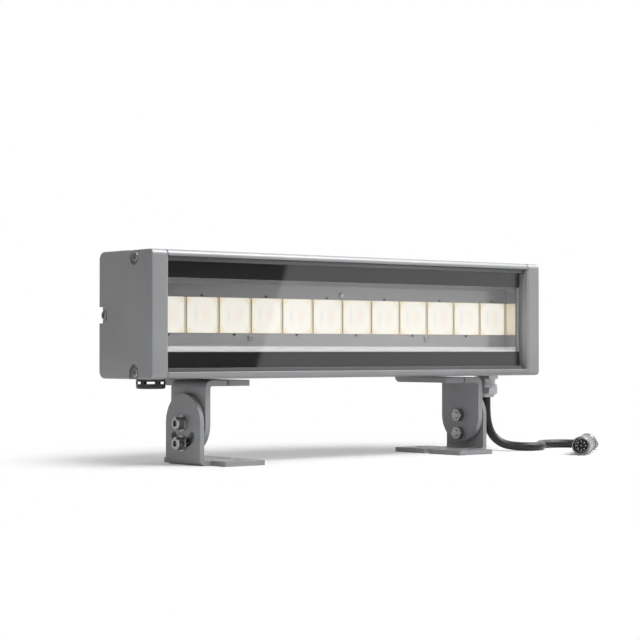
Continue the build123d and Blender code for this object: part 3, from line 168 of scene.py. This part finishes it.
def add_camera():
    """The photo's viewpoint."""
    data = bpy.data.cameras.new("camera")
    data.lens = CAMERA_LENS
    data.sensor_width = 36.0
    data.clip_end = 50.0
    camera = bpy.data.objects.new("camera", data)
    camera.location = CAMERA_PLACE
    camera.rotation_euler = (math.radians(90 + CAMERA_PITCH), 0, math.radians(-CAMERA_HEADING))
    scene.collection.objects.link(camera)
    scene.camera = camera


def new_material(name):
    """An empty node material with its output."""
    material = bpy.data.materials.new(name)
    material.use_nodes = True
    tree = material.node_tree
    tree.nodes.clear()
    output = tree.nodes.new("ShaderNodeOutputMaterial")
    return material, tree, output


def link(tree, source, target):
    """Join two sockets."""
    tree.links.new(source, target)


def maths(tree, operation, first, second=None, third=None):
    """A maths node; each value is a number or a socket."""
    node = tree.nodes.new("ShaderNodeMath")
    node.operation = operation
    for number, value in enumerate((first, second, third)):
        if value is None:
            continue
        if isinstance(value, (int, float)):
            node.inputs[number].default_value = value
        else:
            link(tree, value, node.inputs[number])
    return node.outputs[0]


def place(tree):
    """The shaded point as sockets named X, Y and Z, in the object's own space."""
    coordinates = tree.nodes.new("ShaderNodeTexCoord")
    split = tree.nodes.new("ShaderNodeSeparateXYZ")
    link(tree, coordinates.outputs["Object"], split.inputs["Vector"])
    return split.outputs


def fade(tree, value, low, high):
    """A soft step that is 0 below low and 1 above high."""
    node = tree.nodes.new("ShaderNodeMapRange")
    node.interpolation_type = "SMOOTHSTEP"
    node.inputs["From Min"].default_value = low
    node.inputs["From Max"].default_value = high
    link(tree, value, node.inputs["Value"])
    return node.outputs["Result"]


def drop(tree, value, low, high):
    """A soft step that is 1 below low and 0 above high."""
    return maths(tree, "SUBTRACT", 1.0, fade(tree, value, low, high))


def apart(tree, value, middle):
    """How far the value is from the middle, on either side."""
    return maths(tree, "ABSOLUTE", maths(tree, "SUBTRACT", value, middle))


def distance(tree, first, second):
    """The length of a flat vector."""
    squares = maths(tree, "ADD", maths(tree, "MULTIPLY", first, first), maths(tree, "MULTIPLY", second, second))
    return maths(tree, "SQRT", squares)


def blend_colour(tree, share, first, second):
    """Two colours mixed by a value; each colour is a triple or a socket."""
    node = tree.nodes.new("ShaderNodeMix")
    node.data_type = "RGBA"
    link(tree, share, node.inputs["Factor"])
    for key, colour in (("A", first), ("B", second)):
        socket = [entry for entry in node.inputs if entry.name == key and entry.type == "RGBA"][0]
        if isinstance(colour, tuple):
            socket.default_value = (*colour, 1)
        else:
            link(tree, colour, socket)
    return [entry for entry in node.outputs if entry.type == "RGBA"][0]


def noise(tree, scale, detail=3.0, rough=0.5, stretch=None):
    """A noise texture in the object's own space, stretched along an axis if asked."""
    coordinates = tree.nodes.new("ShaderNodeTexCoord")
    texture = tree.nodes.new("ShaderNodeTexNoise")
    texture.inputs["Scale"].default_value = scale
    texture.inputs["Detail"].default_value = detail
    texture.inputs["Roughness"].default_value = rough
    if stretch:
        mapping = tree.nodes.new("ShaderNodeMapping")
        mapping.inputs["Scale"].default_value = stretch
        link(tree, coordinates.outputs["Object"], mapping.inputs["Vector"])
        link(tree, mapping.outputs["Vector"], texture.inputs["Vector"])
    else:
        link(tree, coordinates.outputs["Object"], texture.inputs["Vector"])
    return texture.outputs["Fac"]


def spread(tree, value, low, high):
    """The value, taken from 0..1 to low..high."""
    node = tree.nodes.new("ShaderNodeMapRange")
    node.inputs["To Min"].default_value = low
    node.inputs["To Max"].default_value = high
    link(tree, value, node.inputs["Value"])
    return node.outputs["Result"]


def two_tone(tree, value, first, second, low=0.35, high=0.65):
    """A colour that runs from first to second with the value."""
    ramp = tree.nodes.new("ShaderNodeValToRGB")
    ramp.color_ramp.elements[0].position = low
    ramp.color_ramp.elements[0].color = (*first, 1)
    ramp.color_ramp.elements[1].position = high
    ramp.color_ramp.elements[1].color = (*second, 1)
    link(tree, value, ramp.inputs["Fac"])
    return ramp.outputs["Color"]


def bump(tree, value, strength, depth, edge=0.0):
    """A bump from the value, over edges that are softened by a small radius if asked."""
    node = tree.nodes.new("ShaderNodeBump")
    if edge:
        soft = tree.nodes.new("ShaderNodeBevel")
        soft.samples = 6
        soft.inputs["Radius"].default_value = edge
        link(tree, soft.outputs["Normal"], node.inputs["Normal"])
    node.inputs["Strength"].default_value = strength
    node.inputs["Distance"].default_value = depth
    link(tree, value, node.inputs["Height"])
    return node.outputs["Normal"]


def shades(colour, amount):
    """The colour a little darker and a little lighter."""
    darker = tuple(c * (1 - amount) for c in colour)
    lighter = tuple(min(1.0, c * (1 + amount)) for c in colour)
    return darker, lighter


def surface(name, colour, rough, metallic=0.0, vary=0.05, grain=900.0, relief=0.05, depth=0.0001,
            stretch=None, rough_spread=0.05, ior=1.5, edge=0.0, lip_shade=None):
    """A procedural surface: near tones of one colour, uneven gloss and a fine relief.

    If asked, it has a level line of painted shade at the given height, and edges softened by a small radius."""
    material, tree, output = new_material(name)
    shader = tree.nodes.new("ShaderNodeBsdfPrincipled")
    shader.inputs["Metallic"].default_value = metallic
    shader.inputs["IOR"].default_value = ior
    darker, lighter = shades(colour, vary)
    broad = noise(tree, 14.0)
    fine = noise(tree, grain, stretch=stretch)
    tone = two_tone(tree, broad, darker, lighter)
    # painted shade: a dark level line under the lip, drawn at the front alone
    if lip_shade:
        here = place(tree)
        front = drop(tree, here["Y"], LIP_SHADE_BACK_Y - LIP_SHADE_SOFT, LIP_SHADE_BACK_Y)
        line = drop(tree, apart(tree, here["Z"], lip_shade), LIP_SHADE_CORE, LIP_SHADE_RIM)
        tone = blend_colour(tree, maths(tree, "MULTIPLY", line, front), tone, DARK)
    link(tree, tone, shader.inputs["Base Color"])
    link(tree, spread(tree, fine, max(0.02, rough - rough_spread), rough + rough_spread),
         shader.inputs["Roughness"])
    link(tree, bump(tree, fine, relief, depth, edge), shader.inputs["Normal"])
    link(tree, shader.outputs["BSDF"], output.inputs["Surface"])
    return material


def clear_glass():
    """The front pane: see-through, with the reflection that its angle gives."""
    material, tree, output = new_material("clear_glass")
    fresnel = tree.nodes.new("ShaderNodeFresnel")
    fresnel.inputs["IOR"].default_value = GLASS_IOR
    clear = tree.nodes.new("ShaderNodeBsdfTransparent")
    shine = tree.nodes.new("ShaderNodeBsdfGlossy")
    shine.inputs["Roughness"].default_value = 0.0
    smear = noise(tree, 9.0)
    link(tree, two_tone(tree, smear, (0.975, 0.975, 0.98), (0.99, 0.99, 0.995)), clear.inputs["Color"])
    facing = tree.nodes.new("ShaderNodeNewGeometry").outputs["Backfacing"]
    entering = maths(tree, "SUBTRACT", 1.0, facing)
    share = maths(tree, "MULTIPLY", maths(tree, "MULTIPLY", fresnel.outputs["Fac"], entering), GLASS_TWO_FACES)
    mix = tree.nodes.new("ShaderNodeMixShader")
    link(tree, share, mix.inputs["Fac"])
    link(tree, clear.outputs["BSDF"], mix.inputs[1])
    link(tree, shine.outputs["BSDF"], mix.inputs[2])
    link(tree, mix.outputs["Shader"], output.inputs["Surface"])
    return material


def lens_spot(tree, across, up, shift, squash, span):
    """1 at a place beside the middle of a lens, and 0 away from it."""
    away = distance(tree, maths(tree, "SUBTRACT", across, shift), maths(tree, "MULTIPLY", up, squash))
    return drop(tree, away, *span)


def lens_colour(tree, across, up, side):
    """A pale dome with warm corners and border, a darker side, and the emitter faintly seen inside."""
    uneven = maths(tree, "MULTIPLY", maths(tree, "SUBTRACT", noise(tree, 420.0), 0.5), LENS_UNEVEN)
    reach = maths(tree, "ADD", distance(tree, across, up), uneven)
    colour = blend_colour(tree, fade(tree, reach, *LENS_DOME), LENS_PALE, LENS_WARM)
    core = lens_spot(tree, across, up, CORE_SHIFT, CORE_SQUASH, CORE_SPAN)
    colour = blend_colour(tree, core, colour, LENS_CORE)
    streak = lens_spot(tree, across, up, SHADE_SHIFT, SHADE_SQUASH, SHADE_SPAN)
    colour = blend_colour(tree, streak, colour, LENS_SHADE)
    border = fade(tree, side, LENS_SIDE - LENS_BORDER, LENS_SIDE - LENS_RIM)
    colour = blend_colour(tree, border, colour, LENS_WARM)
    return blend_colour(tree, fade(tree, side, LENS_SIDE - LENS_RIM, LENS_SIDE), colour, LENS_EDGE)


def lens_material():
    """A moulded lens whose front glows."""
    material, tree, output = new_material("lens_clear")
    x, y, z = place(tree)
    across = maths(tree, "SUBTRACT", maths(tree, "WRAP", x, LENS_PITCH, 0.0), LENS_PITCH / 2)
    up = maths(tree, "SUBTRACT", z, LENS_Z)
    side = maths(tree, "MAXIMUM", maths(tree, "ABSOLUTE", across), maths(tree, "ABSOLUTE", up))
    colour = lens_colour(tree, across, up, side)
    shader = tree.nodes.new("ShaderNodeBsdfPrincipled")
    shader.inputs["Roughness"].default_value = 0.35
    shader.inputs["IOR"].default_value = 1.49
    # painted shade: behind the face of the tray the lens is dark, as in the shade of the cavity; in front its
    # colour is dimmed
    front = drop(tree, y, TRAY_FACE_Y - LENS_FRONT_SOFT, TRAY_FACE_Y)
    base = blend_colour(tree, maths(tree, "MULTIPLY", front, LENS_DIM), DARK, colour)
    link(tree, base, shader.inputs["Base Color"])
    link(tree, colour, shader.inputs["Emission Color"])
    glow = spread(tree, fade(tree, side, LENS_SIDE - LENS_RIM, LENS_SIDE), LENS_GLOW, LENS_EDGE_GLOW)
    link(tree, maths(tree, "MULTIPLY", front, glow), shader.inputs["Emission Strength"])
    link(tree, bump(tree, noise(tree, 60.0), 0.05, 0.0004), shader.inputs["Normal"])
    link(tree, shader.outputs["BSDF"], output.inputs["Surface"])
    return material


def tray_colour(tree, x, z, slope, fine):
    """A floor with painted shade that darkens it upwards, painted light on the slope, a painted highlight along
    the fold, notches painted dark as shade and the warm painted light of the row of lenses.
    """
    # painted shade: darker upwards, under the lip
    level = blend_colour(tree, fade(tree, z, LENS_Z - TRAY_FADE, LENS_Z + TRAY_FADE), TRAY_LOWER, TRAY_UPPER_SHADED)
    level = blend_colour(tree, spread(tree, fine, 0.0, 0.06), level, TRAY_SPECK)
    # painted light on the lower slope
    colour = blend_colour(tree, slope, level, TRAY_SLOPE_LIT)
    # painted highlight: a light line along the upper fold
    colour = blend_colour(tree, fade(tree, apart(tree, z, TRAY_HIGH), *FOLD_SPAN), TRAY_LOWER, colour)
    # painted shade: dark spots in the notches
    for pitches, height in NOTCHES:
        turn = maths(tree, "WRAP", maths(tree, "ADD", x, pitches * LENS_PITCH), 2 * LENS_PITCH, 0.0)
        reach = distance(tree, maths(tree, "SUBTRACT", turn, LENS_PITCH),
                         maths(tree, "SUBTRACT", z, LENS_Z + height))
        colour = blend_colour(tree, fade(tree, reach, *NOTCH_SPAN), DARK, colour)
    # painted light: the lenses' warm light on the tray between them
    between = fade(tree, apart(tree, z, LENS_Z), TRAY_ROW - ROW_SOFT, TRAY_ROW)
    return blend_colour(tree, between, TRAY_LENS_LIGHT, colour)


def tray_material():
    """Satin metal with a matt lower slope that carries painted light, and a mirror-like end wall."""
    material, tree, output = new_material("tray_metal")
    here = place(tree)
    slope = drop(tree, here["Z"], TRAY_LOW - SLOPE_SOFT, TRAY_LOW)
    wall = fade(tree, here["X"], TRAY_END - WALL_SOFT, TRAY_END)
    fine = noise(tree, 300.0, stretch=(1, 8, 8))
    shader = tree.nodes.new("ShaderNodeBsdfPrincipled")
    colour = tray_colour(tree, here["X"], here["Z"], slope, fine)
    link(tree, blend_colour(tree, wall, colour, TRAY_WALL), shader.inputs["Base Color"])
    metallic = maths(tree, "MAXIMUM", spread(tree, slope, TRAY_METALLIC, 0.0),
                     maths(tree, "MULTIPLY", wall, WALL_METALLIC))
    link(tree, metallic, shader.inputs["Metallic"])
    link(tree, spread(tree, wall, TRAY_ROUGH, WALL_ROUGH), shader.inputs["Roughness"])
    link(tree, bump(tree, fine, 0.003, 0.0001, 0.0005), shader.inputs["Normal"])
    link(tree, shader.outputs["BSDF"], output.inputs["Surface"])
    return material


def make_materials():
    """One procedural material for each slot of the record."""
    return {
        # the body's paint carries the painted shade line under its lip
        "body_paint": surface("body_paint", (0.25, 0.253, 0.26), 0.32, metallic=0.45, grain=2600.0, relief=0.12,
                              edge=0.0012, lip_shade=LIP_SHADE_Z),
        "cap_paint": surface("cap_paint", (0.28, 0.283, 0.29), 0.36, metallic=0.45, grain=2600.0, relief=0.12,
                             edge=0.0009),
        "bracket_paint": surface("bracket_paint", (0.265, 0.268, 0.275), 0.44, metallic=0.2, grain=2600.0,
                                 relief=0.12, ior=1.25, edge=0.0009),
        "strip_paint": surface("strip_paint", (0.13, 0.13, 0.133), 0.24, metallic=0.5, grain=2600.0,
                               edge=0.0004),
        "silicone": surface("silicone", (0.32, 0.32, 0.322), 0.6),
        "stainless": surface("stainless", (0.34, 0.34, 0.345), 0.22, metallic=1.0, grain=400.0,
                             stretch=(1, 6, 6), edge=0.0004),
        "clear_glass": clear_glass(),
        "black_enamel": surface("black_enamel", (0.009, 0.009, 0.01), 0.5, relief=0.0, rough_spread=0.02,
                                ior=1.1),
        "tray_metal": tray_material(),
        "nylon": surface("nylon", (0.70, 0.68, 0.62), 0.5),
        "lens_clear": lens_material(),
        "board_white": surface("board_white", (0.75, 0.76, 0.75), 0.4),
        "pad_grey": surface("pad_grey", (0.35, 0.37, 0.4), 0.7),
        "emitter": surface("emitter", (0.95, 0.80, 0.30), 0.4),
        "driver_case": surface("driver_case", (0.6, 0.6, 0.61), 0.35, metallic=1.0),
        "board_green": surface("board_green", (0.02, 0.16, 0.07), 0.35),
        "chip_black": surface("chip_black", (0.02, 0.02, 0.022), 0.4),
        "core_brown": surface("core_brown", (0.2, 0.08, 0.04), 0.4),
        "cable_jacket": surface("cable_jacket", (0.008, 0.008, 0.009), 0.34, grain=1500.0, relief=0.08),
        "nickel": surface("nickel", (0.50, 0.505, 0.515), 0.30, metallic=0.6, grain=500.0),
        "black_plastic": surface("black_plastic", (0.014, 0.014, 0.015), 0.32, grain=1800.0),
        "film": surface("film", (0.85, 0.85, 0.85), 0.6),
        "connector_metal": surface("connector_metal", (0.19, 0.195, 0.20), 0.28, metallic=0.8, grain=700.0),
        "insert_plastic": surface("insert_plastic", (0.03, 0.03, 0.033), 0.5),
        "contact_metal": surface("contact_metal", (0.28, 0.27, 0.24), 0.32, metallic=1.0),
    }


def paint_nodes(materials):
    """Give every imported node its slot's material, with clean shading."""
    for row in frame["record"]["subparts"]:
        piece = nodes[row["node"]]
        piece.data.materials.clear()
        piece.data.materials.append(materials[row["material_slot"]])
        for polygon in piece.data.polygons:
            polygon.use_smooth = True
        piece.data.set_sharp_from_angle(angle=math.radians(32))


def add_lenses():
    """The painted lenses with flatter plates, so that their fronts lie as deep as in the photo."""
    for number in range(1, LENS_COUNT + 1):
        node = "lens_%02d" % number
        mesh = nodes[node].data.copy()
        for vertex in mesh.vertices:
            if vertex.co.y < TRAY_FACE_Y:
                vertex.co.y = TRAY_FACE_Y + (vertex.co.y - TRAY_FACE_Y) * LENS_PLATE_SHARE
        mesh.update()
        lens = bpy.data.objects.new(node + "_flat", mesh)
        lens.matrix_world = nodes[node].matrix_world.copy()
        scene.collection.objects.link(lens)
        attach(lens, "lamp")
        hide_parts(node)


def cable_path():
    """Points along the smooth curve that the free cable follows."""
    curve = bpy.data.curves.new("cable_line", "CURVE")
    curve.dimensions = "3D"
    curve.resolution_u = 12
    spline = curve.splines.new("NURBS")
    spline.points.add(len(CABLE_ROUTE) - 1)
    for point, (x, y, z) in zip(spline.points, CABLE_ROUTE):
        point.co = (GLAND_X + x, y, z, 1)
    spline.order_u = 3
    spline.use_endpoint_u = True
    line = bpy.data.objects.new("cable_line", curve)
    scene.collection.objects.link(line)
    bpy.context.view_layer.update()
    evaluated = line.evaluated_get(bpy.context.evaluated_depsgraph_get())
    mesh = evaluated.to_mesh()
    points = [vertex.co.copy() for vertex in mesh.vertices]
    evaluated.to_mesh_clear()
    bpy.data.objects.remove(line)
    bpy.data.curves.remove(curve)
    return points


def tube(name, points, radius, sides=28):
    """A round tube along the points, closed at both ends."""
    tangents = []
    for number in range(len(points)):
        before = points[max(0, number - 1)]
        after = points[min(len(points) - 1, number + 1)]
        tangents.append((after - before).normalized())
    side = tangents[0].orthogonal().normalized()
    vertices, faces = [], []
    for point, tangent in zip(points, tangents):
        side = (side - tangent * side.dot(tangent)).normalized()
        other = tangent.cross(side)
        for step in range(sides):
            angle = 2 * math.pi * step / sides
            vertices.append(point + side * (radius * math.cos(angle)) + other * (radius * math.sin(angle)))
    for ring in range(len(points) - 1):
        for step in range(sides):
            following = (step + 1) % sides
            a = ring * sides + step
            b = ring * sides + following
            faces.append((a, b, b + sides, a + sides))
    faces.append(tuple(reversed(range(sides))))
    faces.append(tuple((len(points) - 1) * sides + step for step in range(sides)))
    mesh = bpy.data.meshes.new(name)
    mesh.from_pydata([tuple(vertex) for vertex in vertices], [], faces)
    mesh.validate()
    mesh.update()
    for polygon in mesh.polygons:
        polygon.use_smooth = len(polygon.vertices) == 4
    made = bpy.data.objects.new(name, mesh)
    scene.collection.objects.link(made)
    return made


def add_cable(materials):
    """The pigtail, which bends between the lamp's gland and the ground."""
    points = cable_path()
    cable = tube("cable_tube", points, CABLE_RADIUS)
    cable.data.materials.append(materials["cable_jacket"])
    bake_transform(cable)
    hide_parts("power_cable")


def background_rays(tree):
    """1 for the rays that show the background: those of the camera, of mirrors and of glass."""
    rays = tree.nodes.new("ShaderNodeLightPath").outputs
    direct = maths(tree, "MAXIMUM", rays["Is Camera Ray"], rays["Is Transmission Ray"])
    return maths(tree, "MAXIMUM", direct, rays["Is Glossy Ray"])


def add_floor():
    """A white ground that takes the soft shadow of the light and is plain white farther away."""
    bpy.ops.mesh.primitive_plane_add(size=FLOOR_SIZE, location=(0, 0, 0))
    floor = bpy.context.object
    floor.name = "floor"
    material, tree, output = new_material("floor_white")
    matt = tree.nodes.new("ShaderNodeBsdfDiffuse")
    tone = two_tone(tree, noise(tree, 3.0), (0.965, 0.965, 0.965), (0.975, 0.975, 0.975))
    link(tree, tone, matt.inputs["Color"])
    white = tree.nodes.new("ShaderNodeEmission")
    here = place(tree)
    middle = maths(tree, "MINIMUM", maths(tree, "MAXIMUM", here["X"], 0.0), FLOOR_MIDDLE)
    away = distance(tree, maths(tree, "SUBTRACT", here["X"], middle), here["Y"])
    far = fade(tree, away, FLOOR_NEAR, FLOOR_FAR)
    share = maths(tree, "ADD", maths(tree, "MULTIPLY", far, 1 - FLOOR_LIFT), FLOOR_LIFT)
    mix = tree.nodes.new("ShaderNodeMixShader")
    link(tree, maths(tree, "MULTIPLY", share, background_rays(tree)), mix.inputs["Fac"])
    link(tree, matt.outputs["BSDF"], mix.inputs[1])
    link(tree, white.outputs["Emission"], mix.inputs[2])
    link(tree, mix.outputs["Shader"], output.inputs["Surface"])
    floor.data.materials.append(material)


def panel_share(tree):
    """1 inside the bright panel of the front card."""
    here = place(tree)
    along = maths(tree, "SUBTRACT", here["X"], maths(tree, "MULTIPLY", here["Z"], PANEL_LEAN))
    return maths(tree, "MULTIPLY", fade(tree, along, PANEL_LEFT - PANEL_SOFT, PANEL_LEFT + PANEL_SOFT),
                 drop(tree, here["X"], PANEL_RIGHT - PANEL_SOFT, PANEL_RIGHT + PANEL_SOFT))


def add_card(name, corners, tone, panel=False):
    """A grey card that only mirrors show, with the bright panel on it if asked."""
    mesh = bpy.data.meshes.new(name)
    mesh.from_pydata(corners, [], [(0, 1, 2, 3)])
    card = bpy.data.objects.new(name, mesh)
    scene.collection.objects.link(card)
    material, tree, output = new_material(name)
    light = tree.nodes.new("ShaderNodeEmission")
    grey = two_tone(tree, noise(tree, 0.8), (tone * 0.94,) * 3, (tone * 1.06,) * 3)
    if panel:
        grey = blend_colour(tree, panel_share(tree), grey, (PANEL_TONE,) * 3)
    link(tree, grey, light.inputs["Color"])
    link(tree, light.outputs["Emission"], output.inputs["Surface"])
    mesh.materials.append(material)
    card.visible_camera = False
    card.visible_diffuse = False
    card.visible_transmission = False
    card.visible_shadow = False


def add_cards():
    """What the glass and the paint mirror: dark in front and to the left, and bright above on the right."""
    front = [(-1.5, -2.0, 0.0), (5.0, -2.0, 0.0), (5.0, -2.0, 2.4), (-1.5, -2.0, 2.4)]
    above = [(0.8, -1.7, 2.2), (3.4, -1.7, 2.2), (3.4, 0.8, 2.2), (0.8, 0.8, 2.2)]
    left = [(-1.6, 0.3, 0.0), (-1.6, 5.0, 0.0), (-1.6, 5.0, 2.0), (-1.6, 0.3, 2.0)]
    add_card("front_card", front, CARD_DARK, panel=True)
    add_card("top_card", above, CARD_TOP)
    add_card("left_card", left, CARD_LEFT)


def add_world():
    """White for what is seen or mirrored; the light on the object has a level that falls off to the left."""
    world = bpy.data.worlds.new("world")
    world.use_nodes = True
    tree = world.node_tree
    tree.nodes.clear()
    output = tree.nodes.new("ShaderNodeOutputWorld")
    white = tree.nodes.new("ShaderNodeBackground")
    white.inputs["Color"].default_value = (1, 1, 1, 1)
    plain = tree.nodes.new("ShaderNodeBackground")
    split = tree.nodes.new("ShaderNodeSeparateXYZ")
    link(tree, tree.nodes.new("ShaderNodeTexCoord").outputs["Generated"], split.inputs["Vector"])
    level = spread(tree, fade(tree, split.outputs["X"], -1.0, 1.0), WORLD_LEFT, WORLD_RIGHT)
    link(tree, level, plain.inputs["Strength"])
    mix = tree.nodes.new("ShaderNodeMixShader")
    link(tree, background_rays(tree), mix.inputs["Fac"])
    link(tree, plain.outputs["Background"], mix.inputs[1])
    link(tree, white.outputs["Background"], mix.inputs[2])
    link(tree, mix.outputs["Shader"], output.inputs["Surface"])
    scene.world = world


def add_lamp(name, where, target, size, power):
    """A soft lamp that looks at a point; its size is (along, across)."""
    data = bpy.data.lights.new(name, "AREA")
    data.shape = "RECTANGLE"
    data.size, data.size_y = size
    data.energy = power
    lamp = bpy.data.objects.new(name, data)
    lamp.location = where
    lamp.rotation_euler = (Vector(target) - Vector(where)).to_track_quat("-Z", "Y").to_euler()
    scene.collection.objects.link(lamp)


def add_lights():
    """A long strip above the front, a weak broad light overhead, and a broad one high at the front right."""
    add_lamp("strip_light", (0.3, -0.9, 1.5), (0.1, 0.0, 0.1), (2.2, 0.6), 17.0)
    add_lamp("top_light", (0.3, -0.3, 2.6), (0, 0, 0.1), (3.0, 3.0), 4.0)
    add_lamp("front_light", (1.0, -1.6, 1.5), (0.1, 0, 0.12), (2.4, 1.8), 25.0)


scene.view_settings.view_transform = "Standard"
all_materials = make_materials()
add_camera()
paint_nodes(all_materials)
add_lenses()
add_cable(all_materials)
add_floor()
add_cards()
add_world()
add_lights()
